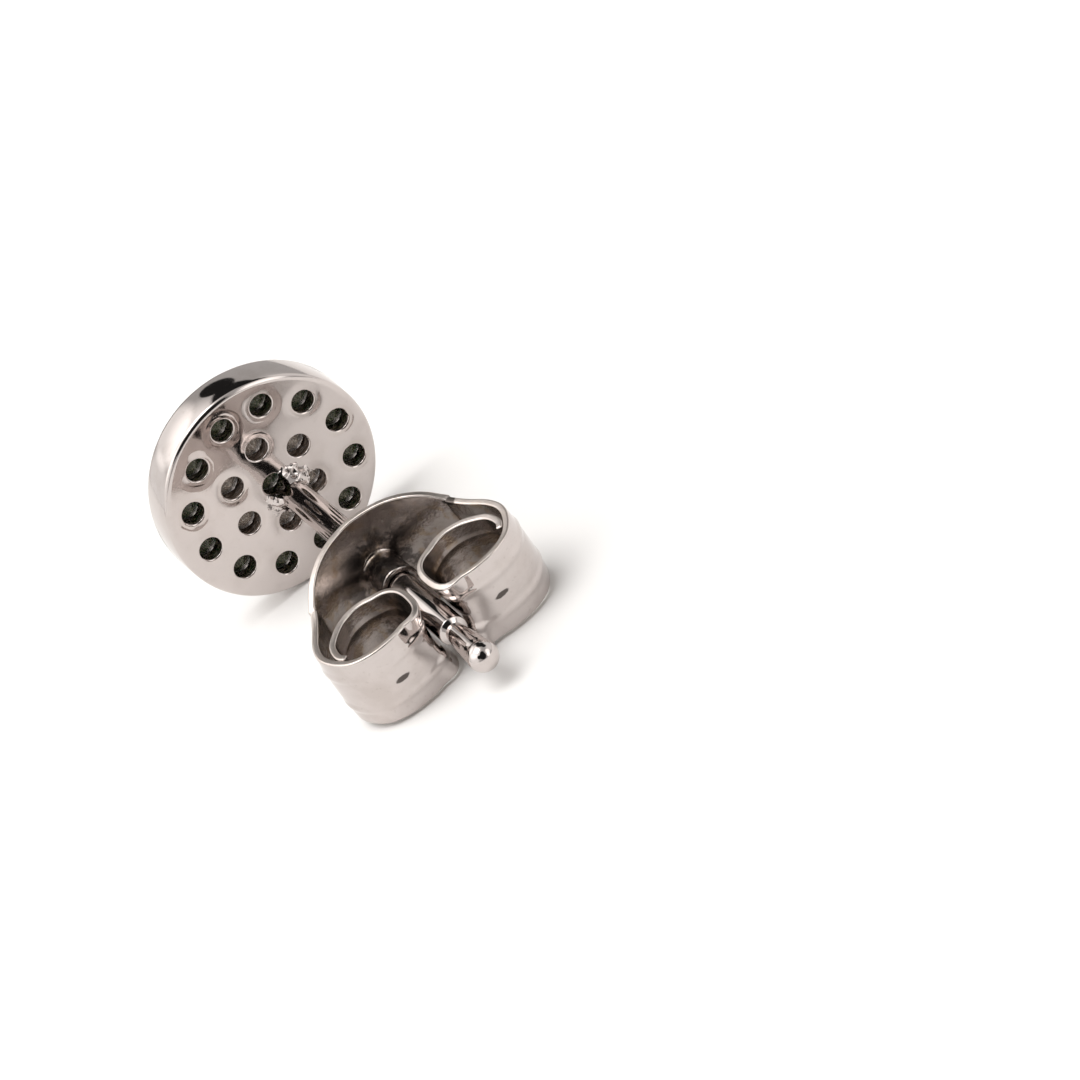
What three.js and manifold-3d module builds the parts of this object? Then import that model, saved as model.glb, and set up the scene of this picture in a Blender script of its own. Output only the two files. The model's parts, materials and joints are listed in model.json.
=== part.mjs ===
// A stud earring laid down on its rim: a round head set with nineteen small stones in front and
// pierced behind each of them, a straight post soldered to the head's back plate, and a
// butterfly clutch, bent from one strip of sheet, that slides on the post.
// Lengths are millimetres and angles are degrees.
// The stud's own frame: the post runs along +Z from the back plate at z = 0 to its tip, +X goes
// across the clutch towards one scroll, and +Y is the clutch's upper side.
import * as THREE from 'three';
import { mergeVertices } from 'three/addons/utils/BufferGeometryUtils.js';
import Module from 'manifold-3d';

const wasm = await Module();
wasm.setup();

// Stones
const stoneRadius = 0.55;
const crownHeight = 0.14;
const girdleHeight = 0.03;
const pavilionDepth = 0.56;
const tableShare = 0.58;
const starShare = 0.8;
const lowerShare = 0.24;
const stoneClearance = 0.03;
const culetSink = 0.16;
const innerCount = 6;
const innerTurn = 21.7;
const innerGap = 0.09;
const outerCount = 12;
const outerTurn = 6.7;
const outerGap = 0.111;

// Head
const rimWall = 0.21;
const rimRise = 0.29;
const wallDraft = 0.03;
const backEdgeRound = 0.15;
const frontEdgeRound = 0.12;
const rimLipWidth = 0.07;
const rimShift = 0.06;
const ovalHeight = 0.039;
const ovalTurn = 60;
const threeLobeHeight = 0.029;
const holeRadius = 0.32;
const beadRadius = 0.13;
const rimBeadRadius = 0.17;
const beadRise = 0.1;
const beadShoulder = 0.7;
const headSides = 96;
const holeSides = 16;
const beadSides = 6;

// Post
const postRadius = 0.4;
const tipRadius = 0.375;
const postLength = 11.5;
const postAcross = 0.28;
const postUp = -0.489;
const postRoot = 0.12;
const solderFillet = 0.22;
const grooveFromTip = 2.03;
const grooveDepth = 0.05;
const grooveHalfWidth = 0.15;
const postSides = 24;

// Clutch
const sheetThickness = 0.19;
const clutchPlace = 5.3;
const postClearance = 0.03;
const plateHalfHeight = 1.8;
const plateHalfSpan = 2.25;
const plateBow = 1.17;
const stripHalfWidth = 1.12;
const stripCrown = 0.05;
const scrollReach = 3.02;
const scrollRise = 3.02;
const saddlePress = 0.22;
const saddleWidth = 0.5;
const collarRise = 1.2;
const collarWall = 0.1;
const collarFlare = 1.05;
const collarMouth = 0.3;
const throatMouth = 0.09;
const plateSteps = 9;
const scrollSteps = 44;
const collarSides = 24;
const sheetColumns = [-1, -0.6, 0, 0.6, 1];

// How far a cut runs past the face it opens, how near two vertices are one, and how often the
// lying pose is worked out again.
const cutPast = 1;
const weldReach = 1e-5;
const settleRounds = 6;

const white = { color: 0xc9c5c1, roughness: 0.12, metalness: 1 };
const green = { color: 0x10180f, roughness: 0.05, metalness: 0 };
const clear = { color: 0xbfc4c6, roughness: 0.03, metalness: 0 };

const turn = THREE.MathUtils.degToRad;

// Flips a closed mesh whose faces point inwards, and leaves any other as it is.
function faceOut(geometry) {
  const place = geometry.attributes.position;
  const index = geometry.index.array;
  const [a, b, c] = [new THREE.Vector3(), new THREE.Vector3(), new THREE.Vector3()];
  let volume = 0;
  for (let i = 0; i < index.length; i += 3) {
    a.fromBufferAttribute(place, index[i]);
    b.fromBufferAttribute(place, index[i + 1]);
    c.fromBufferAttribute(place, index[i + 2]);
    volume += a.dot(b.cross(c));
  }
  if (volume < 0) {
    for (let i = 0; i < index.length; i += 3) {
      [index[i + 1], index[i + 2]] = [index[i + 2], index[i + 1]];
    }
  }
  return geometry;
}

// Merges the shared vertices, so that only positions and whole closed faces are left.
function weld(geometry) {
  geometry.deleteAttribute('normal');
  geometry.deleteAttribute('uv');
  const merged = mergeVertices(geometry, weldReach);
  const kept = [];
  const index = merged.index.array;
  for (let i = 0; i < index.length; i += 3) {
    const [a, b, c] = [index[i], index[i + 1], index[i + 2]];
    if (a !== b && b !== c && c !== a) kept.push(a, b, c);
  }
  merged.setIndex(kept);
  return faceOut(merged);
}

function toSolid(geometry) {
  const closed = weld(geometry);
  return new wasm.Manifold(new wasm.Mesh({
    numProp: 3,
    vertProperties: new Float32Array(closed.attributes.position.array),
    triVerts: new Uint32Array(closed.index.array),
  }));
}

function toGeometry(solid) {
  const mesh = solid.getMesh();
  const geometry = new THREE.BufferGeometry();
  geometry.setAttribute('position', new THREE.BufferAttribute(mesh.vertProperties, 3));
  geometry.setIndex(new THREE.BufferAttribute(mesh.triVerts, 1));
  return geometry;
}

// A body of revolution about +Z. Each corner of the profile is [radius, height], and the
// profile starts and ends on the axis or closes on itself.
function revolve(corners, sides) {
  const profile = corners.map(([radius, height]) => new THREE.Vector2(radius, height));
  return new THREE.LatheGeometry(profile, sides).rotateX(Math.PI / 2);
}

// Points of a quarter round from one tangent point to the other, about its centre.
function arc(centreRadius, centreHeight, radius, from, to, steps) {
  return Array.from({ length: steps + 1 }, (_, i) => {
    const angle = turn(from + ((to - from) * i) / steps);
    return [centreRadius + radius * Math.cos(angle), centreHeight + radius * Math.sin(angle)];
  });
}

function onRing(radius, degrees) {
  return [radius * Math.cos(turn(degrees)), radius * Math.sin(turn(degrees))];
}

// A ring of equal stones, each a gap away from the next.
function ringRadius(count, gap) {
  return (2 * stoneRadius + gap) / (2 * Math.sin(Math.PI / count));
}

const innerRing = ringRadius(innerCount, innerGap);
const outerRing = ringRadius(outerCount, outerGap);
const frontRadius = outerRing + stoneRadius + rimWall;
const backRadius = frontRadius - wallDraft;

// Heights from the back plate at 0 to the rim: culet, girdle, table, front field and rim.
const culet = -culetSink;
const girdleBottom = culet - pavilionDepth;
const girdleTop = girdleBottom - girdleHeight;
const table = girdleTop - crownHeight;
const field = table + stoneClearance;
const rimFace = field - rimRise;

// The seats: every stone's name, its place across the head, and its colour.
function stoneSeats() {
  const seats = [{ name: 'stone_center', at: [0, 0], look: green }];
  for (let i = 0; i < innerCount; i += 1) {
    const at = onRing(innerRing, innerTurn + (360 / innerCount) * i);
    seats.push({ name: `stone_inner_${i + 1}`, at, look: clear });
  }
  for (let i = 0; i < outerCount; i += 1) {
    const at = onRing(outerRing, outerTurn + (360 / outerCount) * i);
    seats.push({ name: `stone_outer_${i + 1}`, at, look: green });
  }
  return seats;
}

// A round brilliant cut with its table towards -Z: table, stars, kites, halves and mains.
function brilliant() {
  const rings = [
    { count: 8, radius: stoneRadius * tableShare, height: table, shift: 0 },
    { count: 8, radius: stoneRadius * starShare, height: (girdleTop + table) / 2, shift: 22.5 },
    { count: 16, radius: stoneRadius, height: girdleTop, shift: 0 },
    { count: 16, radius: stoneRadius, height: girdleBottom, shift: 0 },
    { count: 8, radius: stoneRadius * lowerShare, height: culet - pavilionDepth * lowerShare, shift: 22.5 },
    { count: 1, radius: 0, height: culet, shift: 0 },
  ];
  const points = [];
  for (const ring of rings) {
    ring.first = points.length / 3;
    for (let i = 0; i < ring.count; i += 1) {
      const [x, y] = onRing(ring.radius, ring.shift + (360 / ring.count) * i);
      points.push(x, y, ring.height);
    }
  }
  const [face, star, top, bottom, lower, tip] = rings;
  const at = (ring, i) => ring.first + ((i + ring.count) % ring.count);
  const index = [];
  for (let i = 1; i < 7; i += 1) index.push(at(face, 0), at(face, i + 1), at(face, i));
  for (let i = 0; i < 8; i += 1) {
    index.push(at(face, i), at(face, i + 1), at(star, i));
    index.push(at(face, i), at(star, i), at(top, 2 * i), at(face, i), at(top, 2 * i), at(star, i - 1));
    index.push(at(star, i), at(top, 2 * i + 1), at(top, 2 * i));
    index.push(at(star, i), at(top, 2 * i + 2), at(top, 2 * i + 1));
    index.push(at(lower, i), at(bottom, 2 * i), at(bottom, 2 * i + 1));
    index.push(at(lower, i), at(bottom, 2 * i + 1), at(bottom, 2 * i + 2));
    index.push(at(lower, i), at(bottom, 2 * i + 2), at(lower, i + 1));
    index.push(at(lower, i), at(lower, i + 1), at(tip, 0));
  }
  for (let i = 0; i < 16; i += 1) {
    index.push(at(top, i), at(top, i + 1), at(bottom, i + 1), at(top, i), at(bottom, i + 1), at(bottom, i));
  }
  const geometry = new THREE.BufferGeometry();
  geometry.setAttribute('position', new THREE.Float32BufferAttribute(points, 3));
  geometry.setIndex(index);
  return faceOut(geometry);
}

// The head's blank: a flat back plate, a side wall with a rounded back edge, a rounded rim and
// a lip round the sunk front field. The wall is finished by hand, so that it is a little
// out of round and off the middle of the stones' pattern.
function headBlank() {
  const lip = frontRadius - frontEdgeRound - rimLipWidth;
  const blank = revolve([
    [0, 0],
    ...arc(backRadius - backEdgeRound, -backEdgeRound, backEdgeRound, 90, 0, 4),
    ...arc(frontRadius - frontEdgeRound, rimFace + frontEdgeRound, frontEdgeRound, 0, -90, 3),
    [lip, rimFace],
    [lip - rimRise / 2, field],
    [0, field],
  ], headSides);
  const place = blank.attributes.position;
  for (let i = 0; i < place.count; i += 1) {
    const [x, y] = [place.getX(i), place.getY(i)];
    const radius = Math.hypot(x, y);
    if (radius < lip - rimRise) continue;
    const angle = Math.atan2(y, x);
    const oval = ovalHeight * Math.cos(2 * (angle - turn(ovalTurn)));
    const swell = 1 + (oval + threeLobeHeight * Math.cos(3 * angle)) / radius;
    place.setXY(i, x * swell - rimShift, y * swell);
  }
  return blank;
}

// The space of one stone and the hole behind it, right through the head.
function seatCutter() {
  const seatRadius = stoneRadius + stoneClearance;
  const holeEnd = girdleBottom + (seatRadius - holeRadius) * (pavilionDepth / stoneRadius);
  return revolve([
    [0, cutPast],
    [holeRadius, cutPast],
    [holeRadius, holeEnd + stoneClearance],
    [seatRadius, girdleBottom + stoneClearance],
    [seatRadius, rimFace - cutPast],
    [0, rimFace - cutPast],
  ], holeSides);
}

// The grains that hold the stones: one in each gap between three or four stones, and one
// between every two outer stones by the rim.
function beads() {
  const wide = innerTurn + 180 / innerCount;
  const between = outerTurn + 180 / outerCount;
  const half = (innerRing + outerRing) / 2;
  const rings = [
    { count: innerCount, radius: innerRing / Math.sqrt(3), angle: wide, size: beadRadius },
    { count: innerCount, radius: half - beadRadius, angle: wide, size: rimBeadRadius },
    { count: innerCount, radius: half + beadRadius, angle: innerTurn, size: beadRadius },
    { count: outerCount, radius: outerRing + 2 * rimBeadRadius, angle: between, size: rimBeadRadius },
  ];
  const grains = [];
  for (const ring of rings) {
    for (let i = 0; i < ring.count; i += 1) {
      const [x, y] = onRing(ring.radius, ring.angle + (360 / ring.count) * i);
      const grain = revolve([
        [0, field + beadRise],
        [ring.size, field + beadRise],
        [ring.size, field],
        [ring.size * beadShoulder, field - beadRise * beadShoulder],
        [0, field - beadRise],
      ], beadSides);
      grains.push(grain.translate(x, y, 0));
    }
  }
  return grains;
}

// The post: soldered into the back plate with a small fillet, a shallow groove for the clutch
// near its end, and a round tip.
function post() {
  const groove = postLength - grooveFromTip;
  const tipCentre = postLength - tipRadius;
  return revolve([
    [0, -postRoot],
    [postRadius, -postRoot],
    [postRadius, 0],
    ...arc(postRadius + solderFillet, solderFillet, solderFillet, 270, 180, 3),
    [postRadius, groove - grooveHalfWidth],
    [postRadius - grooveDepth, groove - grooveHalfWidth / 2],
    [postRadius - grooveDepth, groove + grooveHalfWidth / 2],
    [tipRadius, groove + grooveHalfWidth],
    ...arc(0, tipCentre, tipRadius, 0, 90, 4).slice(0, -1),
    [0, postLength],
  ], postSides);
}

function setting() {
  let solid = toSolid(headBlank());
  for (const grain of beads()) solid = solid.add(toSolid(grain));
  for (const seat of stoneSeats()) {
    solid = solid.subtract(toSolid(seatCutter().translate(...seat.at, 0)));
  }
  return toGeometry(solid.add(toSolid(post().translate(postAcross, postUp, 0))));
}

// The line of the bent sheet, from the middle of the plate over one scroll to its free end.
// The plate is bowed like a parabola. Each row after it is [across, along]: a share of the way
// from the post's side to the scroll's reach, and a share of its rise above the plate's end.
const scrollRows = [
  { across: 0.83, along: 0.2 },
  { across: 0.96, along: 0.4 },
  { across: 1, along: 0.58 },
  { across: 0.94, along: 0.76 },
  { across: 0.82, along: 0.9 },
  { across: 0.65, along: 0.975 },
  { across: 0.43, along: 1 },
  { across: 0.21, along: 0.975 },
  { across: 0.045, along: 0.89 },
  { across: 0, along: 0.7 },
  { across: 0.02, along: 0.54 },
  { across: 0.09, along: 0.42 },
  { across: 0.22, along: 0.33 },
  { across: 0.4, along: 0.3 },
  { across: 0.58, along: 0.34 },
  { across: 0.71, along: 0.44 },
  { across: 0.76, along: 0.59 },
  { across: 0.76, along: 0.77 },
];

// The plate's half height along its half span, as shares: full in the middle, with corners
// rounded down to the strip.
const plateRows = [
  { across: 0, height: 1 },
  { across: 0.5, height: 0.965 },
  { across: 0.7, height: 0.91 },
  { across: 0.82, height: 0.86 },
  { across: 0.93, height: 0.77 },
  { across: 1, height: 0.65 },
];

function sheetHalfWidth(across, isPlate) {
  if (!isPlate) return stripHalfWidth;
  const share = Math.abs(across) / plateHalfSpan;
  const next = plateRows.findIndex((row) => row.across >= share);
  if (next < 0) return stripHalfWidth;
  if (next === 0) return plateHalfHeight;
  const [low, high] = [plateRows[next - 1], plateRows[next]];
  const part = (share - low.across) / (high.across - low.across);
  const height = plateHalfHeight * THREE.MathUtils.lerp(low.height, high.height, part);
  return Math.max(stripHalfWidth, height);
}

// The sheet's middle line passes the post no nearer than this.
const nearest = postRadius + postClearance + sheetThickness / 2;

// Stations of the sheet's middle line from one free end to the other.
function sheetStations() {
  const plate = Array.from({ length: plateSteps + 1 }, (_, i) => {
    const across = (plateHalfSpan * i) / plateSteps;
    const place = clutchPlace + plateBow * (across / plateHalfSpan) ** 2;
    return { across, place, isPlate: true };
  });
  const start = plate[plateSteps];
  const bends = scrollRows.map(({ across, along }) => new THREE.Vector3(
    THREE.MathUtils.lerp(nearest, scrollReach, across),
    0,
    start.place + along * scrollRise,
  ));
  const first = new THREE.Vector3(start.across, 0, start.place);
  const run = new THREE.CatmullRomCurve3([first, ...bends], false, 'centripetal');
  const scroll = run.getSpacedPoints(scrollSteps).slice(1).map((point) => ({
    across: Math.max(nearest, point.x),
    place: point.z,
    isPlate: false,
  }));
  const half = [...plate, ...scroll];
  const other = half.slice(1).reverse().map((station) => ({ ...station, across: -station.across }));
  return [...other, ...half];
}

// How far a scroll's edge leans out of its loop: inwards like a barrel, but over the post,
// which has pressed the middle of the strip back.
function edgeLean(station) {
  if (station.isPlate) return 0;
  const beside = Math.max(0, 1 - (Math.abs(station.across) - nearest) / saddleWidth);
  return THREE.MathUtils.lerp(-stripCrown, saddlePress, beside);
}

// The bent sheet, in columns across its width and on both of its faces.
function sheet() {
  const stations = sheetStations();
  const count = sheetColumns.length;
  const points = [];
  stations.forEach((station, i) => {
    const before = stations[Math.max(0, i - 1)];
    const after = stations[Math.min(stations.length - 1, i + 1)];
    const along = new THREE.Vector2(after.across - before.across, after.place - before.place).normalize();
    const halfWidth = sheetHalfWidth(station.across, station.isPlate);
    const lean = edgeLean(station);
    for (const side of [0.5, -0.5]) {
      for (const column of sheetColumns) {
        const off = sheetThickness * side - lean * column * column;
        points.push(station.across - along.y * off, halfWidth * column, station.place + along.x * off);
      }
    }
  });
  const face = sheetColumns.map((_, j) => j);
  const around = [...face, ...face.map((j) => 2 * count - 1 - j)];
  const size = around.length;
  const index = [];
  for (let i = 0; i + 1 < stations.length; i += 1) {
    around.forEach((here, j) => {
      const next = around[(j + 1) % size];
      const [a, b] = [i * size + here, i * size + next];
      index.push(a, b, b + size, a, b + size, a + size);
    });
  }
  const last = (stations.length - 1) * size;
  for (let j = 0; j < count - 1; j += 1) {
    const [a, b, c, d] = [j, j + 1, j + count + 1, j + count];
    index.push(a, c, b, a, d, c);
    index.push(last + a, last + b, last + c, last + a, last + c, last + d);
  }
  const geometry = new THREE.BufferGeometry();
  geometry.setAttribute('position', new THREE.Float32BufferAttribute(points, 3));
  geometry.setIndex(index);
  return geometry;
}

// The collar's outside from its foot on the plate to where it runs straight: how far out of
// its straight wall, as a share of its flare, and how far up, as a share of its rise.
const collarRows = [
  { out: 1, up: 0.05 },
  { out: 0.4, up: 0.19 },
  { out: 0.12, up: 0.41 },
  { out: 0, up: 0.7 },
];

// The drawn collar that guides the post: a funnel pushed up out of the middle of the plate.
function clutch() {
  const bore = postRadius + postClearance;
  const wall = bore + collarWall;
  const rim = clutchPlace + collarRise;
  const mouth = clutchPlace - sheetThickness;
  const collar = revolve([
    [0, clutchPlace],
    [collarFlare, clutchPlace],
    ...collarRows.map(({ out, up }) => [
      THREE.MathUtils.lerp(wall, collarFlare, out),
      clutchPlace + collarRise * up,
    ]),
    [wall, rim],
    [0, rim],
  ], collarSides);
  const passage = revolve([
    [0, mouth - cutPast],
    [bore + collarMouth, mouth - cutPast],
    [bore + collarMouth, mouth],
    [bore + throatMouth, clutchPlace + sheetThickness / 2],
    [bore, clutchPlace + collarRise / 2],
    [bore, rim + cutPast],
    [0, rim + cutPast],
  ], collarSides);
  const solid = toSolid(sheet()).add(toSolid(collar)).subtract(toSolid(passage));
  return toGeometry(solid.translate(postAcross, postUp, 0));
}

function named(name, geometry, look) {
  const mesh = new THREE.Mesh(geometry, new THREE.MeshStandardMaterial(look));
  mesh.name = name;
  return mesh;
}

const stud = new THREE.Group();
stud.add(named('setting', setting(), white));
for (const seat of stoneSeats()) {
  const stone = named(seat.name, brilliant(), seat.look);
  stone.position.set(...seat.at, 0);
  stud.add(stone);
}
stud.add(named('clutch', clutch(), white));

// Lays the stud down: the post points along -Y and sinks until the head's rim and the clutch's
// lower edge both meet the floor, and the middle of its base comes to the origin.
function layDown(object) {
  const group = new THREE.Group();
  group.add(object);
  let slope = 0;
  for (let round = 0; round < settleRounds; round += 1) {
    object.rotation.set(Math.PI / 2 + slope, 0, 0);
    group.updateMatrixWorld(true);
    const head = lowestPoint(object.getObjectByName('setting'));
    const foot = lowestPoint(object.getObjectByName('clutch'));
    slope += Math.atan2(foot.z - head.z, head.y - foot.y);
  }
  object.rotation.set(Math.PI / 2 + slope, 0, 0);
  const box = new THREE.Box3().setFromObject(group, true);
  const centre = box.getCenter(new THREE.Vector3());
  object.position.set(-centre.x, -centre.y, -box.min.z);
  return group;
}

function lowestPoint(mesh) {
  mesh.updateWorldMatrix(true, false);
  const place = mesh.geometry.attributes.position;
  const point = new THREE.Vector3();
  let lowest = null;
  for (let i = 0; i < place.count; i += 1) {
    point.fromBufferAttribute(place, i).applyMatrix4(mesh.matrixWorld);
    if (lowest === null || point.z < lowest.z) lowest = point.clone();
  }
  return lowest;
}

export default layDown(stud);
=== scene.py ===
"""A stud earring laid down on its rim and seen from behind.

A round pierced head carries nineteen small stones, a straight post is soldered to its back plate,
and a butterfly clutch slides on the post. Pieces are modelled in millimetres in the stud's own
frame, where the post runs along +Z from the back plate, +X goes across the clutch and +Y is the
clutch's upper side, and are then laid into the frame's metres.
"""

import json
import logging
import math
from collections.abc import Callable, Iterator, Sequence
from contextlib import contextmanager
from dataclasses import dataclass
from enum import Enum
from typing import Any

import bmesh
import bpy
import numpy as np
from mathutils import Matrix, Vector, noise


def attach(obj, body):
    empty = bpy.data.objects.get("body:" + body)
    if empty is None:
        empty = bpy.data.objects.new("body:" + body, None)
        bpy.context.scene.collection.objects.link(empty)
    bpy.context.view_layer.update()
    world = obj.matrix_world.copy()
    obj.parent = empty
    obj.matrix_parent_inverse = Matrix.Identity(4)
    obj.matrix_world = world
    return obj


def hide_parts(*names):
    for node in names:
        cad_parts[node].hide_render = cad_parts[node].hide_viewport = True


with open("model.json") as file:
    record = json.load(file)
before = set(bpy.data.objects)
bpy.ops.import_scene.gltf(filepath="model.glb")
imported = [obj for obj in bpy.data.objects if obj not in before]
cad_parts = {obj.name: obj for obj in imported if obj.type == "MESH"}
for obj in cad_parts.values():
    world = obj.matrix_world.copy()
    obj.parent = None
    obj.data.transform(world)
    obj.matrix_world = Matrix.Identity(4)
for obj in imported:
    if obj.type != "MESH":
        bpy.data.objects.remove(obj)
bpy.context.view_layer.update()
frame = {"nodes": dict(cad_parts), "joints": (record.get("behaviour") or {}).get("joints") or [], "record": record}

log = logging.getLogger("stud")

MM = 0.001
INSIDE = "inside"

Corner = tuple[float, float]
Point = tuple[float, float, float]


class Body(Enum):
    """The bodies that a piece can ride on."""

    HEAD = "head"
    CLUTCH = "clutch"


class Slot(Enum):
    """The finishes of the record that a piece can take."""

    SILVER = "silver"
    GREEN = "stone_green"
    CLEAR = "stone_clear"


# Shader graphs


def operator(operation: str, swapped: bool = False) -> Callable[["Wire", "Term"], "Wire"]:
    """Makes one of the arithmetic methods of a wire.

    Args:
        operation: The Math node's operation.
        swapped: Whether the other term comes first, as in 1 - mask.

    Returns:
        The method.
    """

    def method(self: "Wire", other: "Term") -> "Wire":
        """Adds the Math node on this wire and another term."""
        return self.graph.maths(operation, *((other, self) if swapped else (self, other)))

    return method


class Wire:
    """One value or colour in a shader graph, which takes part in Python's arithmetic."""

    __add__ = operator("ADD")
    __radd__ = operator("ADD", swapped=True)
    __sub__ = operator("SUBTRACT")
    __rsub__ = operator("SUBTRACT", swapped=True)
    __mul__ = operator("MULTIPLY")
    __rmul__ = operator("MULTIPLY", swapped=True)
    lowest = operator("MINIMUM")
    highest = operator("MAXIMUM")

    def __init__(self, graph: "Graph", socket: bpy.types.NodeSocket | None) -> None:
        """Wraps an output socket of a node in the graph."""
        self.graph = graph
        self.socket = socket


Term = Wire | float


class Graph:
    """A node tree that is written as expressions."""

    def __init__(self, tree: bpy.types.NodeTree) -> None:
        """Empties the tree, to be filled by the other methods."""
        self.tree = tree
        tree.nodes.clear()

    def node(
        self,
        kind: str,
        settings: dict[str, Any] | None = None,
        sockets: dict[str | int, Any] | None = None,
        output: str | int = 0,
    ) -> Wire:
        """Adds a node and gives one of its outputs.

        Args:
            kind: The node's type, such as ShaderNodeTexNoise.
            settings: The node's own properties.
            sockets: A value or a wire for each input that is used.
            output: The output that is wanted, by name or place.

        Returns:
            The wanted output.
        """
        made = self.tree.nodes.new(kind)
        for name, value in (settings or {}).items():
            setattr(made, name, value)
        for name, value in (sockets or {}).items():
            if isinstance(value, Wire):
                self.tree.links.new(value.socket, made.inputs[name])
            else:
                made.inputs[name].default_value = value
        return Wire(self, made.outputs[output] if made.outputs else None)

    def maths(self, operation: str, *terms: Term) -> Wire:
        """Adds a Math node on one, two or three terms."""
        return self.node("ShaderNodeMath", {"operation": operation}, dict(enumerate(terms)))

    def vector(self, operation: str, *terms: Any, output: str = "Vector") -> Wire:
        """Adds a Vector Math node. Its number, such as a length, is the output "Value"."""
        settings = {"operation": operation}
        return self.node("ShaderNodeVectorMath", settings, dict(enumerate(terms)), output)

    def along(self, at: Wire, axis: str) -> Wire:
        """One coordinate of a vector, by its axis letter."""
        return self.node("ShaderNodeSeparateXYZ", {}, {"Vector": at}, axis)

    def blend(self, share: Term, first: Wire | Point, second: Wire | Point) -> Wire:
        """Mixes two colours by a share of the second.

        Args:
            share: How much of the second colour shows.
            first: A colour or a wire.
            second: A colour or a wire.

        Returns:
            The mixed colour.
        """
        settings = {"data_type": "RGBA", "clamp_factor": True}
        pair = [color if isinstance(color, Wire) else (*color, 1.0) for color in (first, second)]
        return self.node("ShaderNodeMix", settings, {0: share, 6: pair[0], 7: pair[1]}, 2)

    def step(self, value: Term, low: float, high: float) -> Wire:
        """A smooth step from 0 at low to 1 at high, which may be the smaller one.

        Args:
            value: What is measured.
            low: Where the step is 0.
            high: Where it is 1.

        Returns:
            The step's height.
        """
        settings = {"interpolation_type": "SMOOTHSTEP", "clamp": True}
        sockets = {"Value": value, "From Min": low, "From Max": high, "To Min": 0.0, "To Max": 1.0}
        return self.node("ShaderNodeMapRange", settings, sockets, "Result")

    def clouds(self, at: Wire, size: float, detail: float = 2.0, rough: float = 0.5) -> Wire:
        """Soft noise from 0 to 1 whose features are about size across, in the units of at."""
        sockets = {"Vector": at, "Scale": 1.0 / size, "Detail": detail, "Roughness": rough}
        return self.node("ShaderNodeTexNoise", {}, sockets, "Fac")

    def patches(self, at: Wire, low: float, high: float, *shape: float) -> Wire:
        """A mask of soft patches: clouds of the given shape, cut between two of their values."""
        return self.step(self.clouds(at, *shape), low, high)

    def uneven(self, at: Wire, height: Term, *shape: float) -> Wire:
        """Clouds of the given shape about zero, as high as given from lowest to highest."""
        return (self.clouds(at, *shape) - 0.5) * height

    def cells(self, at: Wire, size: float) -> Wire:
        """The distance from the nearest of many scattered points, size apart."""
        sockets = {"Vector": at, "Scale": 1.0 / size}
        return self.node("ShaderNodeTexVoronoi", {}, sockets, "Distance")

    def bump(self, height: Wire, strength: float = 1.0) -> Wire:
        """The surface's normal, tilted by a height in mm."""
        sockets = {"Strength": strength, "Distance": MM, "Height": height}
        return self.node("ShaderNodeBump", {}, sockets, "Normal")

    def finish(self, surface: Wire, output: str = "Material") -> None:
        """Leads a shader to the output of a material or a world."""
        self.node("ShaderNodeOutput" + output, {}, {"Surface": surface})


# The stud's place in the frame


@dataclass(frozen=True)
class StudPlace:
    """Where the stud's own frame lies, worked out from the slide's axis and the middle stone."""

    post: Vector
    origin: Vector

    @classmethod
    def from_frame(cls, culet_sink: float) -> "StudPlace":
        """Reads the place from the frame.

        Args:
            culet_sink: How far the middle stone's culet lies below the back plate, in mm.

        Returns:
            The place of the stud's frame.
        """
        post = Vector(frame["joints"][0]["axis"]).normalized()
        stone = frame["nodes"]["stone_center"].data.vertices
        culet = max((vertex.co.copy() for vertex in stone), key=lambda point: point.dot(post))
        return cls(post, culet + post * (culet_sink * MM))

    @property
    def slope(self) -> float:
        """How far the post leans down towards its tip, in radians."""
        return math.atan2(-self.post.z, -self.post.y)

    @property
    def upper(self) -> Vector:
        """The direction of the clutch's upper side, in the frame."""
        return self.post.cross(Vector((1.0, 0.0, 0.0)))

    @property
    def matrix(self) -> Matrix:
        """Takes the stud's millimetres to the frame's metres."""
        across = Vector((1.0, 0.0, 0.0))
        turn = Matrix((across, self.upper, self.post)).transposed().to_4x4()
        return Matrix.Translation(self.origin) @ turn @ Matrix.Scale(MM, 4)

    def coordinates(self, graph: Graph) -> Wire:
        """The stud's own millimetres at every point of a surface, for a pattern.

        Args:
            graph: The graph to add to.

        Returns:
            The coordinates.
        """
        here = graph.node("ShaderNodeTexCoord", output="Object")
        sockets = {
            "Vector": here,
            "Location": tuple(self.origin),
            "Rotation": (math.pi / 2 + self.slope, 0.0, 0.0),
            "Scale": (MM, MM, MM),
        }
        return graph.node("ShaderNodeMapping", {"vector_type": "TEXTURE"}, sockets, "Vector")


# The bench


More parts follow.
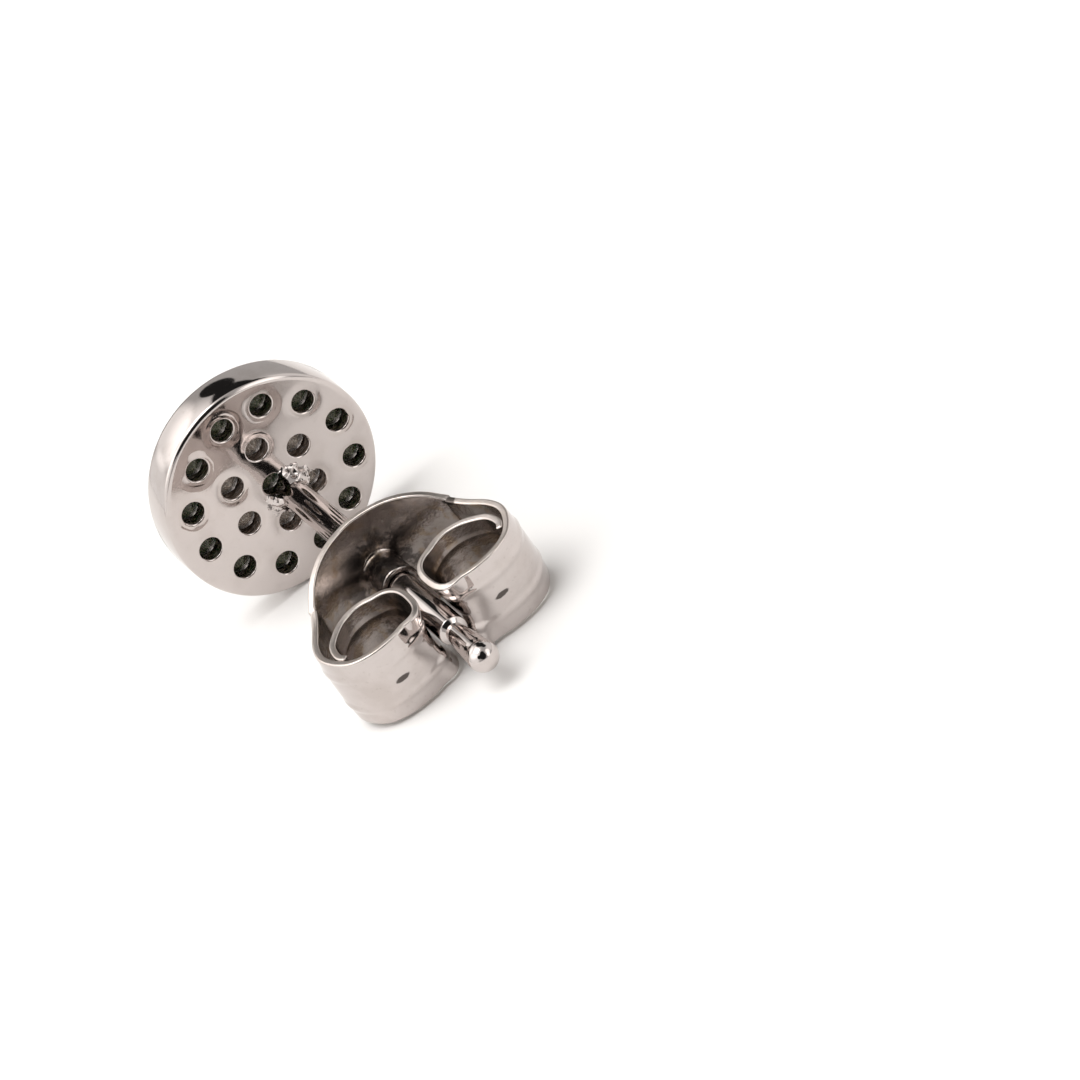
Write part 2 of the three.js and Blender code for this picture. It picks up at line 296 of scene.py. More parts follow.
class Bench:
    """Adds, shapes and finishes pieces with Blender's own modelling tools."""

    def __init__(self, place: StudPlace) -> None:
        """Keeps the place into which finished pieces are laid."""
        self.place = place

    @staticmethod
    def take(*pieces: bpy.types.Object) -> None:
        """Selects these pieces alone and makes the first one active.

        Args:
            pieces: The pieces, or none to deselect all.
        """
        bpy.ops.object.select_all(action="DESELECT")
        for piece in pieces:
            piece.select_set(True)
            bpy.context.view_layer.objects.active = pieces[0]

    def start(self, primitive: Callable[..., Any], name: str, **settings: Any) -> bpy.types.Object:
        """Adds a primitive at its size and place, with its place in its mesh.

        Args:
            primitive: The operator that adds it.
            name: The piece's name.
            settings: The operator's own settings.

        Returns:
            The new object, at the origin.
        """
        self.take()
        primitive(**settings)
        piece = bpy.context.object
        piece.name = name
        piece.data.name = name
        bpy.ops.object.transform_apply(location=True, rotation=True, scale=True)
        return piece

    @contextmanager
    def editing(self, piece: bpy.types.Object, kind: str = "VERT") -> Iterator[bmesh.types.BMesh]:
        """Edit mode on one piece, with nothing selected.

        Args:
            piece: The piece to edit.
            kind: What is selected in it: VERT, EDGE or FACE.

        Yields:
            The mesh being edited.
        """
        self.take(piece)
        bpy.ops.object.mode_set(mode="EDIT")
        bpy.ops.mesh.select_mode(type=kind)
        bpy.ops.mesh.select_all(action="DESELECT")
        yield bmesh.from_edit_mesh(piece.data)
        bpy.ops.object.mode_set(mode="OBJECT")

    @staticmethod
    def pick(piece: bpy.types.Object, parts: str, test: Callable[[Any], bool]) -> None:
        """Selects only the vertices, edges or faces of a piece in edit mode that pass a test.

        Args:
            piece: The piece.
            parts: What is selected: verts, edges or faces.
            test: Says which of them.
        """
        bpy.ops.mesh.select_all(action="DESELECT")
        mesh = bmesh.from_edit_mesh(piece.data)
        for part in getattr(mesh, parts):
            if test(part):
                part.select_set(True)
        mesh.select_flush_mode()
        bmesh.update_edit_mesh(piece.data)

    def modify(self, piece: bpy.types.Object, kind: str, **settings: Any) -> None:
        """Adds a modifier to a piece and applies it.

        Args:
            piece: The piece.
            kind: The modifier's type.
            settings: The modifier's own settings.
        """
        self.take(piece)
        modifier = piece.modifiers.new(kind.lower(), kind)
        for name, value in settings.items():
            setattr(modifier, name, value)
        bpy.ops.object.modifier_apply(modifier=modifier.name)

    def cut(self, piece: bpy.types.Object, tool: bpy.types.Object, how: str = "DIFFERENCE") -> None:
        """Cuts a piece with a tool, or joins the tool to it, and removes the tool."""
        self.modify(piece, "BOOLEAN", operation=how, solver="EXACT", object=tool)
        bpy.data.objects.remove(tool)

    def turned(self, name: str, corners: Sequence[Corner], sides: int) -> bpy.types.Object:
        """Turns an outline about +Z, as on a lathe.

        Args:
            name: The piece's name.
            corners: The outline's corners, each a radius and a height, from axis to axis or
                closing on itself.
            sides: How many steps go round.

        Returns:
            The turned piece, whose faces point outwards.
        """
        piece = self.start(bpy.ops.mesh.primitive_circle_add, name, vertices=len(corners))
        for vertex, (radius, height) in zip(piece.data.vertices, corners):
            vertex.co = (radius, 0.0, height)
        with self.editing(piece, "EDGE"):
            if corners[0][0] == 0.0:
                self.pick(piece, "edges", lambda edge: all(v.co.x == 0.0 for v in edge.verts))
                bpy.ops.mesh.delete(type="EDGE")
            bpy.ops.mesh.select_all(action="SELECT")
            bpy.ops.mesh.spin(steps=sides, angle=2 * math.pi, center=(0, 0, 0), axis=(0, 0, 1))
            bpy.ops.mesh.select_all(action="SELECT")
            bpy.ops.mesh.remove_doubles(threshold=1e-5)
            bpy.ops.mesh.normals_make_consistent(inside=False)
        return piece

    def copies(
        self, piece: bpy.types.Object, name: str, places: Sequence[Point]
    ) -> bpy.types.Object:
        """Copies a piece to each place and joins the copies into one.

        Args:
            piece: The piece to copy, which is removed.
            name: The joined piece's name.
            places: Where each copy goes.

        Returns:
            The joined piece.
        """
        made = []
        for place in places:
            copy = piece.copy()
            copy.data = piece.data.copy()
            copy.data.transform(Matrix.Translation(place))
            bpy.context.scene.collection.objects.link(copy)
            made.append(copy)
        bpy.data.objects.remove(piece)
        return self.joined(made, name)

    def joined(self, pieces: Sequence[bpy.types.Object], name: str) -> bpy.types.Object:
        """Joins pieces into one with a new name.

        Args:
            pieces: The pieces to join.
            name: The joined piece's name.

        Returns:
            The joined piece.
        """
        self.take(*pieces)
        bpy.ops.object.join()
        pieces[0].name = name
        pieces[0].data.name = name
        return pieces[0]

    def shade(self, piece: bpy.types.Object, crease: float = 32.0) -> None:
        """Shades a piece smooth but for its creases, and keeps its flat faces flat.

        Args:
            piece: The piece.
            crease: The angle in degrees from which an edge stays sharp.
        """
        self.take(piece)
        bpy.ops.object.shade_smooth_by_angle(angle=math.radians(crease))
        self.modify(piece, "WEIGHTED_NORMAL", keep_sharp=True, weight=80)

    def finish(
        self,
        piece: bpy.types.Object,
        body: Body,
        slot: Slot,
        material: bpy.types.Material,
        nodes: Sequence[str] = (),
    ) -> bpy.types.Object:
        """Lays a piece into the frame, dresses it and lets it ride.

        Args:
            piece: The piece, in the stud's millimetres.
            body: The body that it moves with.
            slot: The record's finish that it takes; not used.
            material: Its material.
            nodes: The CAD nodes that it stands for.

        Returns:
            The finished piece.
        """
        piece.data.transform(self.place.matrix)
        piece.data.materials.clear()
        piece.data.materials.append(material)
        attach(piece, body.value)
        if nodes:
            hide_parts(*nodes)
        log.info("%s: %d faces, rides on %s", piece.name, len(piece.data.polygons), body.value)
        return piece


# Finishes


def new_material(name: str) -> tuple[bpy.types.Material, Graph]:
    """Makes an empty node material and the graph to fill it.

    Args:
        name: The material's name.

    Returns:
        The material and its graph.
    """
    material = bpy.data.materials.new(name)
    material.use_nodes = True
    return material, Graph(material.node_tree)


@dataclass(frozen=True)
class Silver:
    """Polished white metal with the unevenness of handwork."""

    name: str
    color: Point = (0.57, 0.52, 0.5)
    stain: Point = (0.27, 0.215, 0.18)
    stain_share: float = 0.18
    stain_size: float = 0.9
    speck_size: float = 0.11
    roughness: float = 0.055
    smudge: float = 0.07
    smudge_size: float = 0.55
    wave_size: float = 1.3
    wave_height: float = 0.006
    ripple_size: float = 0.34
    ripple_height: float = 0.0009
    scratch_size: float = 0.045
    scratch_height: float = 0.00025
    scratch_run: Point = (1.0, 1.0, 9.0)

    def made(self, place: StudPlace) -> bpy.types.Material:
        """Makes the material, with its patterns in the stud's own millimetres.

        Args:
            place: The stud's place in the frame.

        Returns:
            The material.
        """
        material, graph = new_material(self.name)
        at = place.coordinates(graph)
        sockets = {
            "Metallic": 1.0,
            "Base Color": self.tint(graph, at),
            "Roughness": self.gloss(graph, at),
            "Normal": graph.bump(self.height(graph, at)),
        }
        graph.finish(graph.node("ShaderNodeBsdfPrincipled", {}, sockets))
        return material

    def height(self, graph: Graph, at: Wire) -> Wire:
        """The surface's height in mm: slow waves, small ripples and fine scratches.

        Args:
            graph: The graph to add to.
            at: The points, in the stud's millimetres.

        Returns:
            The height.
        """
        waves = graph.uneven(at, self.wave_height, self.wave_size, 1.0)
        ripples = graph.uneven(at, self.ripple_height, self.ripple_size)
        run = graph.vector("DIVIDE", at, self.scratch_run)
        scratches = graph.patches(run, 0.55, 0.75, self.scratch_size, 3.0, 0.6)
        return waves + ripples - scratches * self.scratch_height

    def tint(self, graph: Graph, at: Wire) -> Wire:
        """The metal's colour: clean, with faint stains in soft patches.

        Args:
            graph: The graph to add to.
            at: The points, in the stud's millimetres.

        Returns:
            The colour.
        """
        patches = graph.patches(at, 0.46, 0.7, self.stain_size, 4.0, 0.6)
        specks = graph.patches(at, 0.62, 0.75, self.speck_size)
        share = (patches * 0.7 + specks * 0.5) * self.stain_share
        return graph.blend(share, self.color, self.stain)

    def gloss(self, graph: Graph, at: Wire) -> Wire:
        """The roughness: glossy, with dull smudges."""
        smudges = graph.patches(at, 0.4, 0.8, self.smudge_size, 5.0, 0.65)
        return self.roughness + smudges * self.smudge


@dataclass(frozen=True)
class PlateSilver(Silver):
    """The head's silver, burnished in rings round the holes that pierce its back plate."""

    rings: tuple[tuple[int, float, float], ...] = ()
    hole_radius: float = 0.32
    burnish_width: float = 0.17
    burnish_warp: float = 0.22
    burnish_depth: float = 0.006
    burnish_share: float = 0.28
    burnish_color: Point = (0.48, 0.42, 0.38)
    dish_width: float = 0.3
    dish_depth: float = 0.017
    wall_middle: float = -0.55
    wall_barrel: float = 0.16

    def hole_distance(self, graph: Graph, at: Wire) -> Wire:
        """How far a point is from the axis of the nearest hole, in mm.

        Args:
            graph: The graph to add to.
            at: The points, in the stud's millimetres.

        Returns:
            The distance.
        """
        x, y = graph.along(at, "X"), graph.along(at, "Y")
        angle = graph.maths("ARCTAN2", y, x)
        square = x * x + y * y
        radius = graph.maths("SQRT", square)
        nearest = radius
        for count, ring_radius, turn in self.rings:
            pitch = 2 * math.pi / count
            shifted = angle - (math.radians(turn) - pitch / 2)
            folded = graph.maths("FLOORED_MODULO", shifted, pitch) - pitch / 2
            shared = radius * graph.maths("COSINE", folded) * (2 * ring_radius)
            reach = square + ring_radius**2 - shared
            nearest = nearest.lowest(graph.maths("SQRT", reach.highest(0.0)))
        return nearest

    def burnish(self, graph: Graph, at: Wire) -> Wire:
        """A mask of the burnished rings, uneven from hole to hole.

        Args:
            graph: The graph to add to.
            at: The points, in the stud's millimetres.

        Returns:
            The mask.
        """
        edge = self.hole_radius + self.burnish_width
        distance = self.hole_distance(graph, at) + graph.uneven(at, self.burnish_warp, 0.8)
        ring = graph.step(distance, edge, edge - 0.06)
        patch = graph.patches(at, 0.42, 0.6, 1.6, 1.0)
        return ring * patch * graph.step(graph.along(at, "Z"), -0.12, -0.02)

    def height(self, graph: Graph, at: Wire) -> Wire:
        """The plain silver's height, dished round the holes, with a barrelled side wall.

        Args:
            graph: The graph to add to.
            at: The points, in the stud's millimetres.

        Returns:
            The height.
        """
        distance = self.hole_distance(graph, at)
        near = graph.step(distance, self.hole_radius + self.dish_width, self.hole_radius)
        dish = near * (0.2 + graph.patches(at, 0.44, 0.58, 1.9, 1.0)) * self.dish_depth
        depth = graph.along(at, "Z") - self.wall_middle
        barrel = depth * depth * self.wall_barrel
        burnish = self.burnish(graph, at) * self.burnish_depth
        return super().height(graph, at) - burnish - dish - barrel

    def tint(self, graph: Graph, at: Wire) -> Wire:
        """The plain silver's colour, a little browner where it is burnished."""
        share = self.burnish(graph, at) * self.burnish_share
        return graph.blend(share, super().tint(graph, at), self.burnish_color)


@dataclass(frozen=True)
class SheetSilver(Silver):
    """The clutch's rolled sheet: polished outside, painted shade and reflections inside and in spots, grainy cut
    edges.
    """

    axis: Corner = (0.0, 0.0)
    upper: Point = (0.0, 0.0, 1.0)
    edge_gloss: float = 0.26
    edge_grain: float = 0.006
    edge_from: float = 0.95
    edge_color: Point = (0.64, 0.575, 0.535)
    satin: float = 0.15
    inside_wave: float = 0.02
    # Painted shade and reflection inside the bends: a darker brown share, golden patches, and near-black patches
    # near the post.
    inside_shade_share: float = 0.3
    inside_shade_color: Point = (0.34, 0.275, 0.22)
    inside_warm_reflection_color: Point = (0.4, 0.28, 0.15)
    burn_and_shade_color: Point = (0.075, 0.065, 0.062)
    # Near-black spots at the listed places on the scrolls and the plate's corners: painted dark reflections.
    dark_reflection_color: Point = (0.05, 0.04, 0.035)
    dark_reflection_spots: tuple[Point, ...] = ()

    def dark_reflections(self, graph: Graph, at: Wire) -> Wire:
        """A mask of the spots of painted dark reflection, on the scrolls and the plate's corners.

        Args:
            graph: The graph to add to.
            at: The points, in the stud's millimetres.

        Returns:
            The mask.
        """
        nearest: Term = 9.0
        for place in self.dark_reflection_spots:
            beside = graph.vector("SUBTRACT", at, place)
            flat = graph.vector("MULTIPLY", beside, (1.0, 2.6, 1.0))
            nearest = graph.vector("LENGTH", flat, output="Value").lowest(nearest)
        return graph.step(nearest + graph.uneven(at, 0.12, 0.12), 0.24, 0.17)

    def from_axis(self, graph: Graph, at: Wire) -> Wire:
        """How far a point is from the post's axis, in mm.

        Args:
            graph: The graph to add to.
            at: The points, in the stud's millimetres.

        Returns:
            The distance.
        """
        beside = graph.vector("SUBTRACT", at, (*self.axis, 0.0))
        flat = graph.vector("MULTIPLY", beside, (1.0, 1.0, 0.0))
        return graph.vector("LENGTH", flat, output="Value")

    def inside(self, graph: Graph) -> Wire:
        """A mask of the faces inside the bends, written on the sheet when it is made."""
        return graph.node("ShaderNodeAttribute", {"attribute_name": INSIDE}, output="Fac")

    def edge(self, graph: Graph, at: Wire) -> Wire:
        """A mask of the cut edges, which face along the strip's width.

        Args:
            graph: The graph to add to.
            at: The points, in the stud's millimetres.

        Returns:
            The mask.
        """
        facing = graph.node("ShaderNodeTexCoord", output="Normal")
        along = graph.vector("DOT_PRODUCT", facing, self.upper, output="Value")
        flat = graph.step(graph.maths("ABSOLUTE", along), 0.25, 0.6)
        return flat * graph.step(self.from_axis(graph, at), self.edge_from - 0.1, self.edge_from)

    def height(self, graph: Graph, at: Wire) -> Wire:
        """The plain silver's height, with the grain of the cut edges and the uneven inside.

        Args:
            graph: The graph to add to.
            at: The points, in the stud's millimetres.

        Returns:
            The height.
        """
        grain = graph.uneven(at, self.edge_grain, 0.045) * self.edge(graph, at)
        waves = graph.uneven(at, self.inside_wave, 0.5, 3.0, 0.6) * self.inside(graph)
        return super().height(graph, at) + grain + waves

    def gloss(self, graph: Graph, at: Wire) -> Wire:
        """The plain silver's roughness, and more on the cut edges and inside the bends."""
        edges = self.edge(graph, at) * self.edge_gloss
        return super().gloss(graph, at) + edges.highest(self.inside(graph) * self.satin)

    def tint(self, graph: Graph, at: Wire) -> Wire:
        """The silver's colour: paler on the cut edges, with painted shade and reflection inside the bends, and
        painted dark reflections in spots.

        Args:
            graph: The graph to add to.
            at: The points, in the stud's millimetres.

        Returns:
            The colour.
        """
        inside = self.inside(graph)
        # Painted shade and reflection inside the bends: darker brown patches, golden patches, and near-black
        # painted shade near the post.
        dull = 0.08 + graph.patches(at, 0.3, 0.7, 1.1, 4.0, 0.6) * self.inside_shade_share
        golden = graph.patches(at, 0.5, 0.6, 0.62, 4.0, 0.62) * 0.45
        near = graph.step(self.from_axis(graph, at), 1.75, 0.75)
        near_post_shade = graph.patches(at, 0.43, 0.56, 0.48, 4.0, 0.65) * near * 0.8
        color = super().tint(graph, at)
        for share, stain in (
            (dull * inside, self.inside_shade_color),
            (golden * inside, self.inside_warm_reflection_color),
            (near_post_shade * inside, self.burn_and_shade_color),
            (self.edge(graph, at) * 0.75, self.edge_color),
            # The listed spots, painted near-black: painted dark reflections.
            (self.dark_reflections(graph, at) * 0.9, self.dark_reflection_color),
        ):
            color = graph.blend(share, color, stain)
        return color


@dataclass(frozen=True)
class SolderSilver(Silver):
    """Solder that has flowed and frozen, glossy and pitted."""

    pit_size: float = 0.12
    pit_depth: float = 0.03
    burn_and_shade_color: Point = (0.035, 0.028, 0.024)

    def height(self, graph: Graph, at: Wire) -> Wire:
        """Lumps with small round pits."""
        pits = graph.step(graph.cells(at, self.pit_size), 0.3, 0.05)
        return super().height(graph, at) - pits * self.pit_depth

    def tint(self, graph: Graph, at: Wire) -> Wire:
        """The silver's colour, scorched dark in the pits.

        Args:
            graph: The graph to add to.
            at: The points, in the stud's millimetres.

        Returns:
            The colour.
        """
        pits = graph.step(graph.cells(at, self.pit_size), 0.32, 0.1)
        grime = graph.patches(at, 0.52, 0.62, 0.16, 3.0)
        share = (pits * 0.6 + grime * 0.7).lowest(0.92)
        return graph.blend(share, super().tint(graph, at), self.burn_and_shade_color)


@dataclass(frozen=True)
class Gem:
    """A cut stone of glassy mineral, soiled behind where it is seen through its hole."""

    name: str
    color: Point
    shade: Point
    clarity: float
    grime: Point
    dust: Point
    grime_from: float = -0.6
    grime_share: float = 0.96
    grime_height: float = 0.03
    index: float = 1.76

    def made(self, place: StudPlace) -> bpy.types.Material:
        """Makes the material, with its inclusions in the stud's own millimetres.

        Args:
            place: The stud's place in the frame.

        Returns:
            The material.
        """
        material, graph = new_material(self.name)
        at = place.coordinates(graph)
        cloud = graph.patches(at, 0.4, 0.66, 0.3, 4.0, 0.7)
        specks = graph.patches(at, 0.52, 0.62, 0.06, 3.0, 0.7)
        behind = graph.step(graph.along(at, "Z"), self.grime_from, self.grime_from + 0.08)
        crust = graph.uneven(at, behind * self.grime_height, 0.07, 3.0)
        shared = {"IOR": self.index, "Normal": graph.bump(crust, 0.6)}
        clear = {
            "Base Color": graph.blend(cloud * 0.6, self.color, self.shade),
            "Roughness": 0.02 + cloud * 0.02,
            "Transmission Weight": self.clarity,
        }
        soiled = {
            "Base Color": graph.blend(specks * 0.8 + cloud * 0.2, self.grime, self.dust),
            "Roughness": 0.2 + specks * 0.15,
        }
        first, second = (
            graph.node("ShaderNodeBsdfPrincipled", {}, shared | own) for own in (clear, soiled)
        )
        sockets = {0: behind * self.grime_share, 1: first, 2: second}
        graph.finish(graph.node("ShaderNodeMixShader", {}, sockets))
        return material


# The head


@dataclass
class Head:
    """The round head: a pierced shell with its grains and stones. Lengths are mm."""

    stone_radius: float = 0.55
    stone_clearance: float = 0.03
    culet_sink: float = 0.16
    pavilion: float = 0.56
    girdle: float = 0.03
    crown: float = 0.14
    inner_count: int = 6
    inner_turn: float = 21.7
    inner_gap: float = 0.09
    outer_count: int = 12
    outer_turn: float = 6.7
    outer_gap: float = 0.111
    rim_wall: float = 0.21
    rim_rise: float = 0.29
    wall_draft: float = 0.03
    back_round: float = 0.15
    front_round: float = 0.12
    lip_width: float = 0.07
    rim_shift: float = 0.06
    oval_height: float = 0.039
    oval_turn: float = 60.0
    three_lobes: float = 0.029
    hole_radius: float = 0.32
    hole_round: float = 0.045
    grain_radius: float = 0.12
    rim_grain_radius: float = 0.16
    grain_rise: float = 0.1
    sides: int = 192
    hole_sides: int = 48

    @property
    def inner_ring(self) -> float:
        """The radius on which the inner stones lie."""
        return self._ring(self.inner_count, self.inner_gap)

    @property
    def outer_ring(self) -> float:
        """The radius on which the outer stones lie."""
        return self._ring(self.outer_count, self.outer_gap)

    @property
    def front_radius(self) -> float:
        """The head's radius at its front."""
        return self.outer_ring + self.stone_radius + self.rim_wall

    @property
    def girdle_height(self) -> float:
        """The height of the girdles' lower edge."""
        return -self.culet_sink - self.pavilion

    @property
    def field_height(self) -> float:
        """The height of the sunk field that the stones are set in."""
        return self.girdle_height - self.girdle - self.crown + self.stone_clearance

    @property
    def rim_height(self) -> float:
        """The height of the front rim."""
        return self.field_height - self.rim_rise

    def _ring(self, count: int, gap: float) -> float:
        """The radius of a ring of equal stones, each a gap from the next."""
        return (2 * self.stone_radius + gap) / (2 * math.sin(math.pi / count))

    def seats(self) -> list[Point]:
        """The places of all stones across the head, the middle one first."""
        places = [(0.0, 0.0, 0.0)]
        places += around(self.inner_ring, self.inner_count, self.inner_turn)
        places += around(self.outer_ring, self.outer_count, self.outer_turn)
        return places

    def _out_of_round(self, piece: bpy.types.Object) -> None:
        """Makes the wall a little oval and three-lobed and moves it off the stones' middle.

        Args:
            piece: The head's body, which is changed.
        """
        lip = self.front_radius - self.front_round - self.lip_width
        for vertex in piece.data.vertices:
            x, y, z = vertex.co
            radius = math.hypot(x, y)
            if radius < lip - self.rim_rise:
                continue
            angle = math.atan2(y, x)
            oval = self.oval_height * math.cos(2 * (angle - math.radians(self.oval_turn)))
            swell = 1 + (oval + self.three_lobes * math.cos(3 * angle)) / radius
            vertex.co = (x * swell - self.rim_shift, y * swell, z)

    def _blank(self, bench: Bench) -> bpy.types.Object:
        """The head's body before it is pierced.

        Args:
            bench: The bench to work on.

        Returns:
            The body.
        """
        depth = -self.rim_height
        size = {"radius": self.front_radius, "depth": depth, "location": (0.0, 0.0, -depth / 2)}
        cylinder = bpy.ops.mesh.primitive_cylinder_add
        blank = bench.start(cylinder, "head_shell", vertices=self.sides, **size)
        draft = 1 - self.wall_draft / self.front_radius
        with bench.editing(blank, "FACE"):
            bench.pick(blank, "faces", lambda face: face.normal.z > 0.9)
            bpy.ops.transform.resize(value=(draft, draft, 1.0))
            bpy.ops.mesh.select_mode(type="EDGE")
            bench.pick(blank, "edges", lambda edge: all(v.co.z > -1e-4 for v in edge.verts))
            bpy.ops.mesh.bevel(offset=self.back_round, segments=8, affect="EDGES")
            bench.pick(blank, "edges", lambda edge: all(v.co.z < 1e-4 - depth for v in edge.verts))
            bpy.ops.mesh.bevel(offset=self.front_round, segments=6, affect="EDGES")
            bpy.ops.mesh.select_mode(type="FACE")
            bench.pick(blank, "faces", lambda face: face.normal.z < -0.9999)
            bpy.ops.mesh.inset(thickness=self.lip_width, depth=0.0)
            bpy.ops.mesh.inset(thickness=self.rim_rise / 2, depth=-self.rim_rise)
        self._out_of_round(blank)
        return blank

    def hole_tool(self, bench: Bench) -> bpy.types.Object:
        """The tool that pierces every seat: a hole with a rounded mouth and a stone's seat.

        Args:
            bench: The bench to work on.

        Returns:
            The tool, one piece for all seats.
        """
        seat_radius = self.stone_radius + self.stone_clearance
        slope = self.pavilion / self.stone_radius
        hole_end = self.girdle_height + (seat_radius - self.hole_radius) * slope
        mouth_radius = self.hole_radius + self.hole_round
        over = 1.0
        outline = [
            (0.0, over),
            (mouth_radius, over),
            *quarter((mouth_radius, -self.hole_round), self.hole_round, 90, 180, 5),
            (self.hole_radius, hole_end + self.stone_clearance),
            (seat_radius, self.girdle_height + self.stone_clearance),
            (seat_radius, self.rim_height - over),
            (0.0, self.rim_height - over),
        ]
        tool = bench.turned("seat_tool", outline, self.hole_sides)
        return bench.copies(tool, "seat_tools", self.seats())

    def _grains(self, bench: Bench) -> bpy.types.Object:
        """The grains of metal pushed over the stones' edges, each a low dome.

        Args:
            bench: The bench to work on.

        Returns:
            The grains, joined into one piece.
        """
        between = self.outer_turn + 180 / self.outer_count
        wide = self.inner_turn + 180 / self.inner_count
        half = (self.inner_ring + self.outer_ring) / 2
        small, large = self.grain_radius, self.rim_grain_radius
        sets = [
            (self.inner_ring / math.sqrt(3), self.inner_count, wide, small),
            (half - small, self.inner_count, wide, large),
            (half + small, self.inner_count, self.inner_turn, small),
            (self.outer_ring + 2 * large, self.outer_count, between, large),
        ]
        made = []
        sphere = bpy.ops.mesh.primitive_uv_sphere_add
        for ring, count, turn, size in sets:
            grain = bench.start(sphere, "grain", segments=20, ring_count=12, radius=size)
            with bench.editing(grain):
                bpy.ops.mesh.select_all(action="SELECT")
                bpy.ops.transform.resize(value=(1.0, 1.0, self.grain_rise / size))
                plane = {"plane_co": (0, 0, self.grain_rise / 2), "plane_no": (0, 0, 1)}
                bpy.ops.mesh.bisect(use_fill=True, clear_outer=True, **plane)
            places = [(x, y, self.field_height) for x, y, _ in around(ring, count, turn)]
            made.append(bench.copies(grain, "grains", places))
        return bench.joined(made, "head_grains")

    def build(self, bench: Bench, silver: Silver) -> None:
        """Models the shell and the grains.

        Args:
            bench: The bench to work on.
            silver: The grains' finish.
        """
        shell = self._blank(bench)
        bench.cut(shell, self.hole_tool(bench))
        bench.shade(shell)
        rings = (
            (self.inner_count, self.inner_ring, self.inner_turn),
            (self.outer_count, self.outer_ring, self.outer_turn),
        )
        places = {"hole_radius": self.hole_radius, "wall_middle": self.rim_height / 2}
        plate = PlateSilver("silver_pierced", wave_height=0.014, rings=rings, **places)
        bench.finish(shell, Body.HEAD, Slot.SILVER, plate.made(bench.place), ["setting"])
        grains = self._grains(bench)
        bench.shade(grains, 60.0)
        bench.finish(grains, Body.HEAD, Slot.SILVER, silver.made(bench.place))

    def dress_stones(self, place: StudPlace) -> None:
        """Gives every stone its mineral.

        Args:
            place: The stud's place in the frame.
        """
        green = Gem(
            "mineral_green",
            color=(0.016, 0.12, 0.042),
            shade=(0.01, 0.06, 0.02),
            clarity=0.9,
            grime=(0.028, 0.032, 0.014),
            dust=(0.14, 0.13, 0.075),
        )
        clear = Gem(
            "mineral_clear",
            color=(0.93, 0.93, 0.92),
            shade=(0.84, 0.83, 0.81),
            clarity=0.96,
            grime=(0.14, 0.105, 0.075),
            dust=(0.46, 0.39, 0.32),
        )
        finishes = {Slot.GREEN: green.made(place), Slot.CLEAR: clear.made(place)}
        for row in frame["record"]["subparts"]:
            slot = row["material_slot"]
            if slot == Slot.SILVER.value:
                continue
            stone = frame["nodes"][row["node"]]
            stone.data.materials.clear()
            stone.data.materials.append(finishes[Slot(slot)])
            log.info("%s dressed as %s", stone.name, slot)


def around(radius: float, count: int, turn: float) -> list[Point]:
    """The places of a ring's members, from the first one's turn in degrees."""
    angles = [math.radians(turn + 360 / count * i) for i in range(count)]
    return [(radius * math.cos(a), radius * math.sin(a), 0.0) for a in angles]


def quarter(centre: Corner, radius: float, start: float, end: float, steps: int) -> list[Corner]:
    """Points on an arc about a centre, from one angle in degrees to another."""
    angles = [math.radians(start + (end - start) * i / steps) for i in range(steps + 1)]
    return [(centre[0] + radius * math.cos(a), centre[1] + radius * math.sin(a)) for a in angles]


# The post


